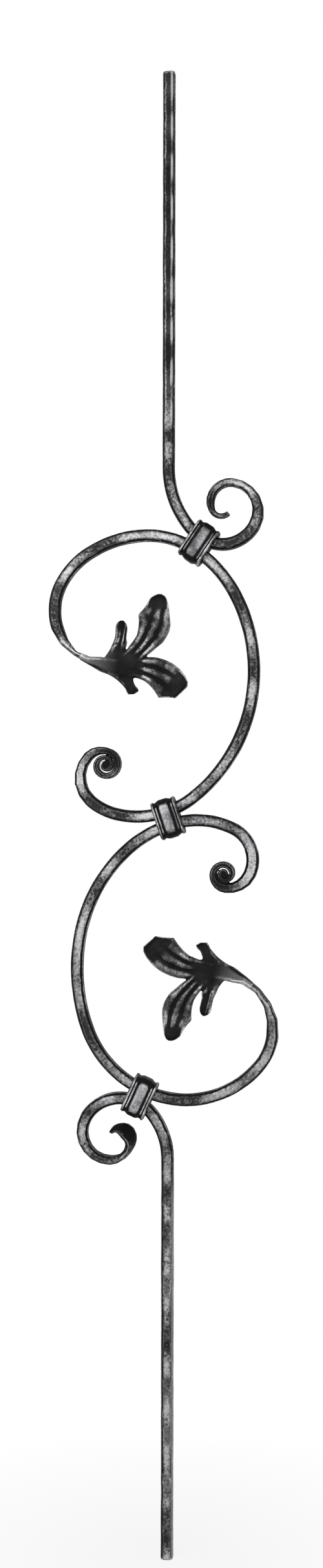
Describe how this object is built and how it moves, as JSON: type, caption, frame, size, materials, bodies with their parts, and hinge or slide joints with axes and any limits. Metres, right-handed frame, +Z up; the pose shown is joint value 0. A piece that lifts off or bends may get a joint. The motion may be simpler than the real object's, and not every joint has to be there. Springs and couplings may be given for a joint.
{
  "type": "iron stair baluster",
  "caption": "Forged iron stair baluster: square hammered bars in opposed C-scrolls that end in fluted leaves, bound by wrapped collars between straight tails.",
  "frame": {"origin": "centre of the lower tail's foot", "axes": "+Z up along both tails, +X to the right in the plane of the scrolls seen from the leaf fronts, +Y to the back"},
  "size_m": [0.1878, 0.0206, 1.2],
  "materials": {
    "bar_iron": "black forged iron, rubbed to bare metal on the high spots",
    "collar_iron": "black forged iron, rubbed bright on the front and the beads"
  },
  "bodies": {
    "root": {"upper_picket": "bar_iron", "upper_leaf_scroll": "bar_iron", "lower_leaf_scroll": "bar_iron", "lower_picket": "bar_iron", "upper_collar": "collar_iron", "middle_collar": "collar_iron", "lower_collar": "collar_iron"}
  },
  "joints": []
}
